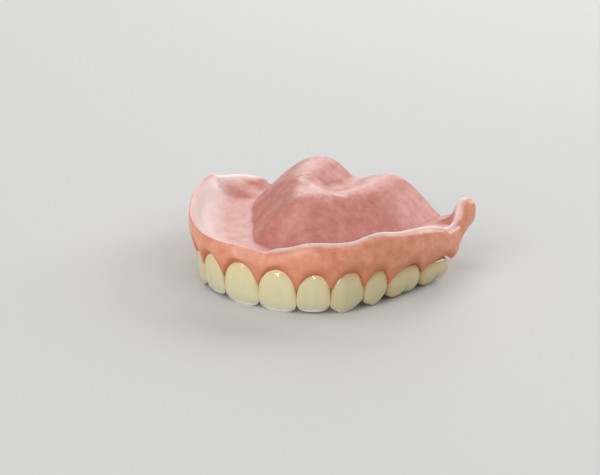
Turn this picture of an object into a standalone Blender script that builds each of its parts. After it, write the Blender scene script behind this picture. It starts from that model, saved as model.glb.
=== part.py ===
# Full upper denture, lying on its teeth with the fitting side up.
# X runs to the wearer's left, Y to the back of the palate, Z away from the biting plane.
# The biting edges stand on Z = 0, and the origin is the middle of the footprint.

import math

import bmesh
import bpy
from mathutils import Vector

MM = 0.001

# Dental arch, from the midline contact at the biting edges
CANINE_HALF_WIDTH = 17.3 * MM
CANINE_DEPTH = 6.0 * MM
MOLAR_HALF_WIDTH = 27.5 * MM
MOLAR_DEPTH = 28.4 * MM
TUBEROSITY_LENGTH = 12.2 * MM   # base behind the last molar, along the arch
BORDER_HOLLOW = 0.3 * MM        # how far the back border curves in at the midline
FAN_START = 20.0 * MM           # behind the front contact, where the front sections meet
FAN_WIDTH = 2.8 * MM            # along the arch, the sections that do
FAN_SPREAD = 1.3                # how much the other sections crowd to the front

# Acrylic base. Pairs are (left, right).
PLATE_THICKNESS = 2.4 * MM      # palate
RIM_FALL = 0.6 * MM             # the top of the rim slopes down to the lip side
BANK = (1.6 * MM, 3.6 * MM)     # run of the slope from the rim down to the floor
REAR_BANK = (1.4 * MM, 1.3 * MM)  # the same behind the teeth
BANK_FOOT = 0.3 * MM            # the floor's lift where the slope starts
FLANGE_BELLY = 0.5 * MM         # swelling of the flange beyond its rim
TROUGH_HEIGHT = 9.6 * MM        # floor of the groove that takes the gum ridge
POCKET_DEPTH = 0.9 * MM         # the floor's dip under each tuberosity
PALATE_RISE = 9.4 * MM          # palate crest above the floor
HUMP_DIFFERENCE = 0.65 * MM     # how much the right hump stands above the mean
HUMP_PLACE = 6.0 * MM           # from the midline to where a hump has its own height
GROOVE_DEPTH = 3.8 * MM         # furrow along the middle of the palate
GROOVE_WIDTH = (4.6 * MM, 2.9 * MM)
GROOVE_START = 23.0 * MM
GROOVE_RUN = 15.0 * MM
NECK_FACE = 1.1 * MM            # lip side of the necks ahead of the tooth line
GUM_OVERHANG = 0.5 * MM         # gum margin proud of the tooth
PAPILLA_INSET = 0.3 * MM        # how far the gum points stand back between the teeth
ROOT_BULGE = 0.3 * MM           # swelling of the gum over each root
MIDLINE_PAPILLA = 6.6 * MM
PALATAL_GUM = 6.2 * MM          # height of the gum margin on the palate side
PALATAL_SEAT = 0.9 * MM         # gum behind a tooth, on the palate side
SOCKET_ROOF = 0.8 * MM          # underside between the two gum margins, above the palate's one
FOOT_INSET = 1.2 * MM           # underside of the palate, out from the foot of the slope above

# Back of the base, behind the last molar
BACK_UNDERSIDE = 7.4 * MM
BACK_MARGIN = (10.2 * MM, 8.0 * MM)   # lower outer edge of the back corners
BACK_RISE = (9.5 * MM, 7.0 * MM)      # how far behind the last molar that edge gets there
BACK_INSET = (1.9 * MM, 3.4 * MM)     # how far it stands in from the tooth line
BACK_FLOOR = (9.8 * MM, 10.9 * MM)    # floor at the back border
BACK_EDGE = 1.0 * MM                  # width of the rounded back edge
BACK_PULL = (1.3 * MM, 0.0 * MM)      # how far the flange ends ahead of the palate
BACK_RAKE = (0.5, 0.0)                # and more for each unit under RAKE_TOP
RAKE_TOP = 14.2 * MM
PULL_START = 6.5 * MM                 # behind the last molar
HORN_TIP = 8.6 * MM                   # behind the last molar
POCKET_UNDER = 1.6 * MM               # the underside's dip below the pocket
SLANT = (0.3, 1.0)                    # how far the floor tilts up to the flange
SLANT_START = -0.5 * MM               # behind the last molar
SLANT_RUN = 1.8 * MM
SLANT_BANK = 2.4 * MM
REAR_SECTIONS = (0.0, 0.22, 0.45, 0.6, 0.74, 1.0)   # shares of the way to the back edge

# Rounding pulls the cage in, so it stands this much higher at the rim and over the gum arches,
# and the gum points between the arches are drawn this share lower
RIM_ALLOWANCE = 0.2 * MM
GUM_ARCH_ALLOWANCE = 0.3 * MM
PAPILLA_SHARPENING = 0.5
ZENITH_SPREAD = 0.4             # how far the top of a gum arch reaches to each side

# Rows of a section as shares of the way. The palate's run from the midline to the foot of its
# slope, and those below it add how many plate thicknesses they lie deeper and how much of
# FOOT_INSET they stand out. The flange's run from the gum margin to the rim.
PALATE_ROWS = (0.27, 0.52, 0.77, 1.0)
UNDERSIDE_ROWS = ((0.80, 1.9, 1.0), (0.40, 1.05, 0.4))
FLANGE_ROWS = (0.66, 0.3)
# Middle of the bank as shares of its run and of its height, level and where the floor tilts,
# and how high the tilted floor comes in its middle and at the foot of the bank
BANK_WALL = (0.35, 0.45)
SLANT_WALL = (0.42, 0.93)
SLANT_FLOOR = (0.3, 0.7)
# Sharpness of the foot of the palate slope and of the inner edge of the rim, by row of a section
CREASES = {4: 0.5, 8: 0.5}

# Play between a tooth and its socket, and between neighbouring teeth
SOCKET_CLEARANCE = 0.3 * MM
CONTACT_GAP = 0.3 * MM

# Shape of the base at named places, in millimetres, as (left, right) where the sides differ.
# rim is the height of the flange, flare how far the rim stands out from the tooth line, thick
# its thickness, foot where the palate starts to rise, in from the tooth line, and run how long
# it rises.
PLACES = [
    {"at": "midline", "rim": (13.4, 13.4), "flare": (0.7, 0.7), "thick": (1.7, 1.7),
     "foot": 8.8, "run": 17.0},
    {"at": "central_incisor", "rim": (14.6, 13.5), "flare": (1.0, 1.0), "thick": (1.7, 1.5),
     "foot": 9.2, "run": 16.5},
    {"at": "lateral_incisor", "rim": (16.8, 13.5), "flare": (1.1, 1.9), "thick": (1.7, 1.3),
     "foot": 10.2, "run": 15.5},
    {"at": "canine", "rim": (16.5, 13.7), "flare": (1.5, 2.2), "thick": (1.7, 1.2),
     "foot": 11.5, "run": 14.5},
    {"at": "premolar", "rim": (17.1, 14.1), "flare": (1.6, 2.6), "thick": (1.7, 1.2),
     "foot": 11.7, "run": 14.0},
    {"at": "first_molar", "rim": (16.4, 14.3), "flare": (2.0, 3.2), "thick": (1.7, 1.2),
     "foot": 10.5, "run": 13.5},
    {"at": "second_molar", "rim": (13.8, 14.4), "flare": (1.5, 3.6), "thick": (1.7, 1.2),
     "foot": 8.8, "run": 13.5},
    {"at": "last_contact", "rim": (11.6, 14.2), "flare": (0.9, 3.2), "thick": (1.7, 1.3),
     "foot": 8.8, "run": 13.5},
    {"at": "tuberosity", "rim": (11.3, 13.0), "flare": (-0.2, 0.8), "thick": (1.9, 1.7),
     "foot": 9.0, "run": 13.5},
    {"at": "horn", "rim": (16.0, 12.3), "flare": (-0.3, -0.8), "thick": (2.9, 2.0),
     "foot": 9.2, "run": 13.5},
    {"at": "back", "rim": (15.5, 11.3), "flare": (-0.6, -2.4), "thick": (2.9, 2.4),
     "foot": 9.4, "run": 13.5},
]

# Teeth from the midline backwards, in millimetres. height is the crown from its edge to the top
# of the gum margin, papilla the height of the gum point behind the tooth, zenith where across
# the tooth the gum stands highest, lean how far the neck stands back along the arch, and lift
# how far the lowest point stands off the biting plane.
TEETH = [
    {"name": "central_incisor", "form": "incisor", "width": 8.6, "height": 10.1, "depth": 5.6,
     "papilla": 7.0, "zenith": 0.52, "lean": 0.0, "lift": 0.0},
    {"name": "lateral_incisor", "form": "incisor", "width": 7.0, "height": 9.6, "depth": 5.2,
     "papilla": 7.0, "zenith": 0.6, "lean": 0.25, "lift": 0.6},
    {"name": "canine", "form": "canine", "width": 7.5, "height": 9.7, "depth": 6.2,
     "papilla": 6.7, "zenith": 0.68, "lean": 0.4, "lift": 0.0},
    {"name": "premolar", "form": "premolar", "width": 6.3, "height": 8.5, "depth": 8.0,
     "papilla": 5.3, "zenith": 0.7, "lean": 0.2, "lift": 0.1},
    {"name": "first_molar", "form": "molar", "width": 9.9, "height": 7.5, "depth": 9.2,
     "papilla": 5.2, "zenith": 0.72, "lean": 0.0, "lift": 0.0},
    {"name": "second_molar", "form": "molar", "width": 9.8, "height": 6.6, "depth": 8.8,
     "papilla": 4.6, "zenith": 0.72, "lean": 0.0, "lift": 0.0},
]

# Walls of a crown, from the biting edge to the end of the neck: height on the lip side and on
# the palate side as shares of the crown, share of the full width, where the lip side stands in
# millimetres, and where the palate side stands as a share of the depth
INCISOR_WALLS = [
    (0.00, 0.00, 0.86, -0.45, 0.10),
    (0.08, 0.08, 0.97, -0.75, 0.17),
    (0.30, 0.30, 1.00, -1.15, 0.38),
    (0.62, 0.55, 0.96, -1.30, 0.72),
    (0.90, 0.72, 0.84, -1.15, 0.98),
    (1.04, 0.78, 0.72, -0.70, 0.92),
]
MOLAR_WALLS = [
    (0.00, 0.00, 0.92, -0.70, 0.92),
    (0.40, 0.38, 1.00, -1.50, 1.03),
    (0.90, 0.80, 0.92, -1.25, 0.98),
    (1.10, 1.05, 0.74, -0.40, 0.84),
]

# Forms of the crowns. columns and rows are places across and through the biting surface from -1
# to 1, edge how far in millimetres each point of that grid stands off the tooth's lowest one,
# taper how much the palate side is narrower, bow how far the corners stand back from the lip
# side, and cage how much wider the modelling cage is than the tooth that it rounds to.
FORMS = {
    "incisor": {
        "columns": [-1.0, -0.72, 0.0, 0.72, 1.0],
        "rows": [-1.0, 1.0],
        "edge": [[0.7, 0.0, 0.0, 0.0, 1.1],
                 [0.7, 0.0, 0.0, 0.0, 1.1]],
        "walls": INCISOR_WALLS,
        "taper": 0.24, "bow": 1.0, "cage": 1.12,
    },
    "canine": {
        "columns": [-1.0, -0.62, -0.2, 0.45, 1.0],
        "rows": [-1.0, 1.0],
        "edge": [[1.7, 0.7, 0.0, 1.0, 2.5],
                 [1.9, 0.9, 0.1, 1.2, 2.7]],
        "walls": INCISOR_WALLS,
        "taper": 0.32, "bow": 1.6, "cage": 1.2,
    },
    "premolar": {
        "columns": [-1.0, -0.5, 0.0, 0.5, 1.0],
        "rows": [-1.0, -0.62, 0.05, 0.66, 1.0],
        "edge": [[1.6, 1.1, 0.7, 1.5, 2.5],
                 [1.5, 0.8, -0.6, 1.1, 2.1],
                 [2.0, 2.6, 2.8, 2.6, 2.1],
                 [2.2, 1.2, 0.0, 1.2, 2.3],
                 [2.8, 2.0, 1.4, 2.0, 2.9]],
        "walls": MOLAR_WALLS,
        "taper": 0.26, "bow": 1.1, "cage": 1.05,
    },
    "molar": {
        "columns": [-1.0, -0.52, 0.0, 0.52, 1.0],
        "rows": [-1.0, -0.66, 0.05, 0.66, 1.0],
        "edge": [[2.2, 1.2, 2.0, 1.3, 2.3],
                 [1.8, 0.2, 1.6, 0.4, 2.0],
                 [2.0, 2.0, 2.9, 2.1, 2.2],
                 [1.8, -0.7, 1.4, -0.5, 2.0],
                 [2.6, 1.2, 2.2, 1.4, 2.8]],
        "walls": MOLAR_WALLS,
        "taper": 0.12, "bow": 1.0, "cage": 1.05,
    },
}

ACRYLIC_COLOUR = (0.62, 0.19, 0.16, 1.0)
TOOTH_COLOUR = (0.72, 0.66, 0.42, 1.0)


def smooth_step(t):
    t = min(max(t, 0.0), 1.0)
    return t * t * (3.0 - 2.0 * t)


def mix(a, b, t):
    return a + (b - a) * t


# Arch curve y = a x^2 + b x^4 through the canine and the second molar
ARCH_B = ((MOLAR_DEPTH / MOLAR_HALF_WIDTH**2 - CANINE_DEPTH / CANINE_HALF_WIDTH**2)
          / (MOLAR_HALF_WIDTH**2 - CANINE_HALF_WIDTH**2))
ARCH_A = CANINE_DEPTH / CANINE_HALF_WIDTH**2 - ARCH_B * CANINE_HALF_WIDTH**2


def arch_point(s):
    """Point on the left half of the arch at length s, and the slope of the curve there."""
    step = 0.1 * MM
    x = 0.0
    length = 0.0
    while length < s:
        slope = 2.0 * ARCH_A * x + 4.0 * ARCH_B * x**3
        advance = min(step, s - length)
        x += advance / math.hypot(1.0, slope)
        length += advance
        if advance < step:
            break
    slope = 2.0 * ARCH_A * x + 4.0 * ARCH_B * x**3
    return Vector((x, ARCH_A * x**2 + ARCH_B * x**4)), slope


def tooth_starts():
    """Distance along the arch at which each tooth starts, and the end of the last one."""
    starts = [0.0]
    for tooth in TEETH:
        starts.append(starts[-1] + tooth["width"] * MM)
    return starts


STARTS = tooth_starts()
LAST_CONTACT = STARTS[-1]
ARCH_LENGTH = LAST_CONTACT + TUBEROSITY_LENGTH


def place_on_arch(name):
    """Distance along the arch of a place named in PLACES."""
    for tooth, start in zip(TEETH, STARTS):
        if tooth["name"] == name:
            return start + tooth["width"] * MM / 2.0
    others = {"midline": 0.0, "last_contact": LAST_CONTACT, "back": ARCH_LENGTH,
              "tuberosity": LAST_CONTACT + TUBEROSITY_LENGTH / 2.0,
              "horn": LAST_CONTACT + HORN_TIP}
    return others[name]


def along(s, size, side=0.0):
    """A size of the base at distance s along the arch, eased between the named places."""
    low, high = PLACES[0], PLACES[1]
    for low, high in zip(PLACES, PLACES[1:]):
        if s <= place_on_arch(high["at"]):
            break
    start = place_on_arch(low["at"])
    part = smooth_step((s - start) / (place_on_arch(high["at"]) - start))
    values = [place[size] if side == 0.0 else place[size][0 if side > 0.0 else 1]
              for place in (low, high)]
    return mix(values[0], values[1], part) * MM


def sections():
    """Sections of one side of the base: distance along the arch, gum height, tooth and bulge."""
    found = []
    papilla = MIDLINE_PAPILLA
    for index, tooth in enumerate(TEETH):
        height = tooth["height"] * MM
        before = TEETH[max(index - 1, 0)]["height"] * MM
        sharpened = papilla - PAPILLA_SHARPENING * ((before + height) / 2.0 - papilla)
        raised = height + GUM_ARCH_ALLOWANCE
        zenith = tooth["zenith"]
        found.append((STARTS[index], sharpened, index, 0.0))
        for end in (0.0, 1.0):
            part = mix(zenith, end, ZENITH_SPREAD)
            found.append((mix(STARTS[index], STARTS[index + 1], part), raised, index, ROOT_BULGE))
        papilla = tooth["papilla"] * MM
    last = len(TEETH) - 1
    for part in REAR_SECTIONS:
        found.append((mix(LAST_CONTACT, ARCH_LENGTH - BACK_EDGE, part), papilla, last, 0.0))
    found.append((ARCH_LENGTH, papilla, last, 0.0))
    return found


def spine_point(s):
    """Midline point that the section at s runs to. The front sections share one."""
    start = max(s, FAN_WIDTH)
    back = arch_point(ARCH_LENGTH)[0].y - BORDER_HOLLOW
    travel = (start / ARCH_LENGTH)**FAN_SPREAD
    return Vector((0.0, mix(FAN_START, back, travel))), start


def palate_height(s, inward, spot, side):
    """Height of the fitting side of the palate at spot, inward from the tooth line."""
    climb = (inward - along(s, "foot")) / along(s, "run")
    across = side * min(abs(spot.x) / HUMP_PLACE, 1.0)
    rise = (PALATE_RISE - across * HUMP_DIFFERENCE) * math.sin(
        min(max(climb, 0.0), 1.0) * math.pi / 2.0)
    width = GROOVE_WIDTH[0 if side > 0.0 else 1]
    groove = GROOVE_DEPTH * math.exp(-(spot.x / width)**2)
    return TROUGH_HEIGHT + rise - groove * smooth_step((spot.y - GROOVE_START) / GROOVE_RUN)


def section_profile(s, gum, index, bulge, side):
    """Section of the base from the midline over the palate, trough, rim and gum, and back."""
    place, slope = arch_point(s)
    spine, spine_s = spine_point(s)
    reach = (spine - place).length
    inward = (spine - place) / reach
    forward = Vector((-1.0, -slope)).normalized()
    hand = 0 if side > 0.0 else 1
    foot = along(s, "foot")
    rim = along(s, "rim", side)
    outer = -along(s, "flare", side)
    inner = outer + along(s, "thick", side)
    belly = outer - FLANGE_BELLY
    tooth = TEETH[index]
    past = s - LAST_CONTACT
    behind = smooth_step(past / (0.5 * TUBEROSITY_LENGTH))
    back = smooth_step(past / TUBEROSITY_LENGTH)
    trough = TROUGH_HEIGHT - POCKET_DEPTH * (behind - back) / 0.5
    trough = mix(trough, BACK_FLOOR[hand], back)
    slant = SLANT[hand] * smooth_step((past - SLANT_START) / SLANT_RUN)
    bank = mix(mix(BANK[hand], REAR_BANK[hand], behind), SLANT_BANK, slant)
    gum = mix(gum, BACK_MARGIN[hand], min(max(past / BACK_RISE[hand], 0.0), 1.0))
    pulled = smooth_step((past - PULL_START) / (TUBEROSITY_LENGTH - PULL_START))

    def at(q, z):
        spot = place + inward * q
        return Vector((side * spot.x, spot.y, z))

    def on_flange(q, z, share=1.0):
        pull = BACK_PULL[hand] + BACK_RAKE[hand] * max(RAKE_TOP - z, 0.0)
        spot = place + inward * q + forward * pull * pulled * share
        return Vector((side * spot.x, spot.y, z))

    def on_palate(part, drop, shift):
        q = mix(reach, foot, part) + shift
        return at(q, palate_height(s, q, place + inward * q, side) - drop)

    def on_spine(drop):
        start = arch_point(spine_s)[0]
        height = palate_height(spine_s, (spine - start).length, spine, 0.0)
        return Vector((0.0, spine.y, height - drop))

    between = 0.0 if bulge > 0.0 or past >= 0.0 else PAPILLA_INSET
    margin = mix(between - NECK_FACE - GUM_OVERHANG, BACK_INSET[hand], back)
    palatal = mix(tooth["depth"] * MM + PALATAL_SEAT, foot - FOOT_INSET, behind)
    palatal_gum = mix(PALATAL_GUM, BACK_UNDERSIDE, back)
    under = mix(PALATAL_GUM + SOCKET_ROOF, BACK_UNDERSIDE, back) - POCKET_UNDER * (behind - back)
    floor_middle = mix(trough, rim, SLANT_FLOOR[0] * slant)
    floor_foot = mix(trough + BANK_FOOT, mix(trough, rim, SLANT_FLOOR[1]), slant)
    wall_run = mix(BANK_WALL[0], SLANT_WALL[0], slant) * bank
    wall_height = mix(trough, rim, mix(BANK_WALL[1], SLANT_WALL[1], slant))
    points = [on_spine(0.0)]
    points += [on_palate(part, 0.0, 0.0) for part in PALATE_ROWS]
    points += [
        at((foot + inner + bank) / 2.0, floor_middle),
        on_flange(inner + bank, floor_foot, 0.5),
        on_flange(inner + wall_run, wall_height),
        on_flange(inner, rim + RIM_ALLOWANCE),
        on_flange(outer, rim - RIM_FALL + RIM_ALLOWANCE),
        on_flange(belly, mix(gum, rim, FLANGE_ROWS[0])),
        on_flange((margin + belly) / 2.0 - bulge, mix(gum, rim, FLANGE_ROWS[1])),
        on_flange(margin, gum),
        on_flange((margin + palatal) / 2.0, under, 0.5),
        at(palatal, palatal_gum),
    ]
    points += [on_palate(part, plates * PLATE_THICKNESS, out * FOOT_INSET)
               for part, plates, out in UNDERSIDE_ROWS]
    points.append(on_spine(PLATE_THICKNESS))
    return points


def add_rounding(thing):
    rounding = thing.modifiers.new("rounding", "SUBSURF")
    rounding.levels = 1
    rounding.render_levels = 1


def make_base(material, collection):
    """The acrylic base: sections lofted round the arch, stitched at the midline and the back."""
    half = sections()
    profiles = [section_profile(*section, -1.0) for section in reversed(half)]
    profiles += [section_profile(*section, 1.0) for section in half[1:]]
    bm = bmesh.new()
    rings = [[bm.verts.new(point) for point in profile] for profile in profiles]
    for ring, after in zip(rings, rings[1:]):
        for a, b, c, d in zip(ring, ring[1:], after[1:], after):
            bm.faces.new((a, b, c, d))
    # The back border joins each point of the fitting side to its partner underneath
    last = len(rings[0]) - 1
    for ring in (rings[0], rings[-1]):
        for k in range(last // 2):
            bm.faces.new((ring[k], ring[k + 1], ring[last - k - 1], ring[last - k]))
    crease = bm.edges.layers.float.new("crease_edge")
    for row, strength in CREASES.items():
        for ring, after in zip(rings, rings[1:]):
            bm.edges.get((ring[row], after[row]))[crease] = strength
    bmesh.ops.remove_doubles(bm, verts=bm.verts, dist=0.01 * MM)
    bmesh.ops.recalc_face_normals(bm, faces=bm.faces)
    mesh = bpy.data.meshes.new("denture_base")
    bm.to_mesh(mesh)
    bm.free()
    mesh.shade_smooth()
    mesh.materials.append(material)
    base = bpy.data.objects.new("denture_base", mesh)
    collection.objects.link(base)
    add_rounding(base)
    return base


def crown_point(tooth, column, row, level):
    """Point of a tooth's cage, about the middle of its biting edge."""
    form = FORMS[tooth["form"]]
    lip_height, palate_height_share, width, lip, palate = form["walls"][level]
    a = form["columns"][column]
    b = form["rows"][row]
    through = (b + 1.0) / 2.0
    half_width = (tooth["width"] * MM - CONTACT_GAP) / 2.0 * form["cage"]
    u = a * half_width * width * (1.0 - form["taper"] * through)
    u += tooth["lean"] * MM * lip_height
    lip_side = (lip + 0.6 * form["bow"] * a * a) * MM
    palate_side = (tooth["depth"] * palate - form["bow"] * a * a) * MM
    v = mix(lip_side, palate_side, through)
    w = mix(lip_height, palate_height_share, through) * tooth["height"] * MM
    fade = 1.0 - smooth_step(level / (len(form["walls"]) - 2))
    w += form["edge"][row][column] * MM * fade
    return Vector((u, v, w))


def tooth_mesh(tooth, side, grow):
    """One tooth: a grid for the biting surface and rings for the walls, moved out by grow."""
    form = FORMS[tooth["form"]]
    across = len(form["columns"])
    through = len(form["rows"])
    bm = bmesh.new()

    def corner(column, row, level):
        point = crown_point(tooth, column, row, level)
        return bm.verts.new((side * point.x, point.y, point.z))

    grid = [[corner(i, j, 0) for i in range(across)] for j in range(through)]
    table = []
    for low, high in zip(grid, grid[1:]):
        for a, b, c, d in zip(low, low[1:], high[1:], high):
            table.append(bm.faces.new((a, b, c, d)))
    outline = [(i, 0) for i in range(across)]
    outline += [(across - 1, j) for j in range(1, through)]
    outline += [(i, through - 1) for i in range(across - 2, -1, -1)]
    outline += [(0, j) for j in range(through - 2, 0, -1)]
    ring = [grid[j][i] for i, j in outline]
    for level in range(1, len(form["walls"])):
        after = [corner(i, j, level) for i, j in outline]
        for k in range(len(ring)):
            bm.faces.new((ring[k - 1], ring[k], after[k], after[k - 1]))
        ring = after
    bm.faces.new(ring)
    bmesh.ops.recalc_face_normals(bm, faces=bm.faces)
    bm.normal_update()
    shifts = [(vert, vert.normal * vert.calc_shell_factor() * grow) for vert in bm.verts]
    for vert, shift in shifts:
        vert.co += shift
    if tooth["form"] == "incisor":
        # Sharp edges keep the worn edge flat between its rounded corners
        crease = bm.edges.layers.float.new("crease_edge")
        for edge in {edge for face in table for edge in face.edges}:
            edge[crease] = 1.0
    mesh = bpy.data.meshes.new(tooth["name"])
    bm.to_mesh(mesh)
    bm.free()
    mesh.shade_smooth()
    return mesh


def place_tooth(name, tooth, start, side, grow, collection):
    """A tooth, or the cutter for its socket, standing on the arch."""
    thing = bpy.data.objects.new(name, tooth_mesh(tooth, side, grow))
    collection.objects.link(thing)
    add_rounding(thing)
    place, slope = arch_point(start + tooth["width"] * MM / 2.0)
    thing.location = (side * place.x, place.y, 0.0)
    thing.rotation_euler.z = side * math.atan(slope)
    return thing


def shaped_points(thing):
    """World points of a piece with its modifiers."""
    bpy.context.view_layer.update()
    shaped = thing.evaluated_get(bpy.context.evaluated_depsgraph_get())
    return [thing.matrix_world @ vertex.co for vertex in shaped.data.vertices]


def make_material(name, colour, roughness):
    material = bpy.data.materials.new(name)
    material.use_nodes = True
    shader = material.node_tree.nodes["Principled BSDF"]
    shader.inputs["Base Color"].default_value = colour
    shader.inputs["Roughness"].default_value = roughness
    shader.inputs["Metallic"].default_value = 0.0
    return material


def make_collection(name):
    collection = bpy.data.collections.new(name)
    bpy.context.scene.collection.children.link(collection)
    return collection


def cut_socket(base, cutter):
    cutter.hide_render = True
    cutter.display_type = "WIRE"
    socket = base.modifiers.new(cutter.name, "BOOLEAN")
    socket.operation = "DIFFERENCE"
    socket.solver = "EXACT"
    socket.object = cutter


def centre_footprint(pieces, movers):
    """Moves everything together so that the origin is the middle of the footprint."""
    points = [point for piece in pieces for point in shaped_points(piece)]
    middle_x = (min(p.x for p in points) + max(p.x for p in points)) / 2.0
    middle_y = (min(p.y for p in points) + max(p.y for p in points)) / 2.0
    for mover in movers:
        mover.location -= Vector((middle_x, middle_y, 0.0))


def main():
    for thing in list(bpy.data.objects):
        bpy.data.objects.remove(thing, do_unlink=True)
    denture = make_collection("upper_denture")
    sockets = make_collection("tooth_sockets")

    base = make_base(make_material("pink_denture_acrylic", ACRYLIC_COLOUR, 0.22), denture)
    teeth = []
    cutters = []
    for side, word in ((1.0, "left"), (-1.0, "right")):
        for tooth, start in zip(TEETH, STARTS):
            name = tooth["name"] + "_" + word
            piece = place_tooth(name, tooth, start, side, 0.0, denture)
            lowest = min(point.z for point in shaped_points(piece))
            piece.location.z = tooth["lift"] * MM - lowest
            piece.data.materials.append(make_material(name + "_acrylic", TOOTH_COLOUR, 0.25))
            cutter = place_tooth(name + "_socket", tooth, start, side, SOCKET_CLEARANCE, sockets)
            cutter.location.z = piece.location.z
            teeth.append(piece)
            cutters.append(cutter)
    centre_footprint([base] + teeth, [base] + teeth + cutters)
    for cutter in cutters:
        cut_socket(base, cutter)


main()
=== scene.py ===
# Full upper denture lying on its teeth, fitting side up: pink acrylic base and twelve acrylic teeth.
# X runs to the wearer's left, Y to the back of the palate and Z away from the biting plane.
import math

import bmesh
import bpy
from mathutils import Matrix, Vector, noise


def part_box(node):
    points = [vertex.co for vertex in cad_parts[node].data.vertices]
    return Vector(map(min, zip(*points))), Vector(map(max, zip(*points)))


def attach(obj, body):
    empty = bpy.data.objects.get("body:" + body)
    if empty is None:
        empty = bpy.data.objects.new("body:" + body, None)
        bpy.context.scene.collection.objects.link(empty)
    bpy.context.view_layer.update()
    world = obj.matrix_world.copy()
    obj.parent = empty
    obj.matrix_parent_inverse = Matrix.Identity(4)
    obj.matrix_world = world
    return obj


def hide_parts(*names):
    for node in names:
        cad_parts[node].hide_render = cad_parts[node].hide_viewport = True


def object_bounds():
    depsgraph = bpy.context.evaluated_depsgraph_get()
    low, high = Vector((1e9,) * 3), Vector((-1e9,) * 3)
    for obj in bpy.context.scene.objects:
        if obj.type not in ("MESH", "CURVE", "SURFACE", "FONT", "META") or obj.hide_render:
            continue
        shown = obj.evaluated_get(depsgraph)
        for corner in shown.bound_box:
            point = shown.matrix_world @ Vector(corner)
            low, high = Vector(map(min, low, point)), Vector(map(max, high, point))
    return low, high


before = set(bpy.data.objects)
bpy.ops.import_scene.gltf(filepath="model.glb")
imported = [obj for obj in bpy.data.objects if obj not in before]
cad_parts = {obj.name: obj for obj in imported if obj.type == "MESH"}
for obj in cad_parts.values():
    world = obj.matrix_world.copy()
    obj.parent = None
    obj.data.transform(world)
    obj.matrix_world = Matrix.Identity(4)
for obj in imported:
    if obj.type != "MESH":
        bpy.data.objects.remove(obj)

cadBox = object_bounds()
mm = 0.001   # shapes are worked out in millimetres and scaled once, when a mesh is done


def smoothStep(t):
    t = min(max(t, 0.0), 1.0)
    return t * t * (3.0 - 2.0 * t)


def mix(a, b, t):
    return a + (b - a) * t


def hump(distance, width):
    return math.exp(-(distance / width) ** 2)


def linearColour(hexText):
    channels = [int(hexText[i:i + 2], 16) / 255.0 for i in (1, 3, 5)]
    linear = [c / 12.92 if c <= 0.04045 else ((c + 0.055) / 1.055) ** 2.4 for c in channels]
    return (*linear, 1.0)


def addNode(tree, kind, settings=None, values=None, links=None):
    node = tree.nodes.new(kind)
    for name, value in (settings or {}).items():
        setattr(node, name, value)
    for name, value in (values or {}).items():
        node.inputs[name].default_value = value
    for name, source in (links or {}).items():
        tree.links.new(source, node.inputs[name])
    return node


# A material with its node tree, its shader and the place on the piece, in metres
def newMaterial(name):
    material = bpy.data.materials.new(name)
    material.use_nodes = True
    tree = material.node_tree
    place = addNode(tree, "ShaderNodeTexCoord").outputs["Object"]
    return material, tree, tree.nodes["Principled BSDF"], place


def addObject(name, data):
    item = bpy.data.objects.new(name, data)
    bpy.context.scene.collection.objects.link(item)
    return item


# Dental arch along the biting edges, millimetres

arch = {
    "canineHalfWidth": 17.3,
    "canineDepth": 6.0,
    "molarHalfWidth": 27.5,
    "molarDepth": 28.4,
    "backLength": 12.2,       # base behind the last molar, along the arch
    "step": 0.05,             # of the walk along the curve
    "lipFace": 1.04,          # lip side of the central incisors ahead of the front contact
}
archFourth = ((arch["molarDepth"] / arch["molarHalfWidth"] ** 2
               - arch["canineDepth"] / arch["canineHalfWidth"] ** 2)
              / (arch["molarHalfWidth"] ** 2 - arch["canineHalfWidth"] ** 2))
archSecond = (arch["canineDepth"] / arch["canineHalfWidth"] ** 2
              - archFourth * arch["canineHalfWidth"] ** 2)


def archSlope(x):
    return 2.0 * archSecond * x + 4.0 * archFourth * x ** 3


def walkArch(longest):
    spots = [0.0]
    while len(spots) * arch["step"] < longest + 2.0 * arch["step"]:
        spots.append(spots[-1] + arch["step"] / math.hypot(1.0, archSlope(spots[-1])))
    return spots


# Teeth from the midline back, millimetres. height is the crown to the top of its gum margin,
# papilla the height of the gum point behind the tooth, zenith where across the tooth the gum
# stands highest, lean how far the neck stands back along the arch, and the last entry how much
# darker and browner the tooth is painted: partly the own tone of back teeth, partly painted shade

teeth = [
    {"name": "central_incisor", "form": "incisor", "width": 8.6, "height": 10.1, "depth": 5.6,
     "papilla": 6.0, "zenith": 0.52, "lean": 0.0, "grey": 0.0},
    {"name": "lateral_incisor", "form": "incisor", "width": 7.0, "height": 9.6, "depth": 5.2,
     "papilla": 6.1, "zenith": 0.6, "lean": 0.25, "grey": 0.1},
    {"name": "canine", "form": "canine", "width": 7.5, "height": 9.7, "depth": 6.2,
     "papilla": 5.9, "zenith": 0.68, "lean": 0.4, "grey": 0.3},
    {"name": "premolar", "form": "premolar", "width": 6.3, "height": 8.5, "depth": 8.0,
     "papilla": 4.9, "zenith": 0.7, "lean": 0.2, "grey": 0.4},
    {"name": "first_molar", "form": "molar", "width": 9.9, "height": 7.5, "depth": 9.2,
     "papilla": 4.8, "zenith": 0.72, "lean": 0.0, "grey": 0.45},
    {"name": "second_molar", "form": "molar", "width": 9.8, "height": 6.2, "depth": 8.8,
     "papilla": 4.7, "zenith": 0.72, "lean": 0.0, "grey": 0.5},
]
toothStarts = [sum(tooth["width"] for tooth in teeth[:i]) for i in range(len(teeth) + 1)]
lastContact = toothStarts[-1]
archLength = lastContact + arch["backLength"]
archWalk = walkArch(archLength)


def archPoint(s):
    place = s / arch["step"]
    index = int(place)
    x = mix(archWalk[index], archWalk[index + 1], place - index)
    return Vector((x, archSecond * x ** 2 + archFourth * x ** 4)), archSlope(x)


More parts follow.
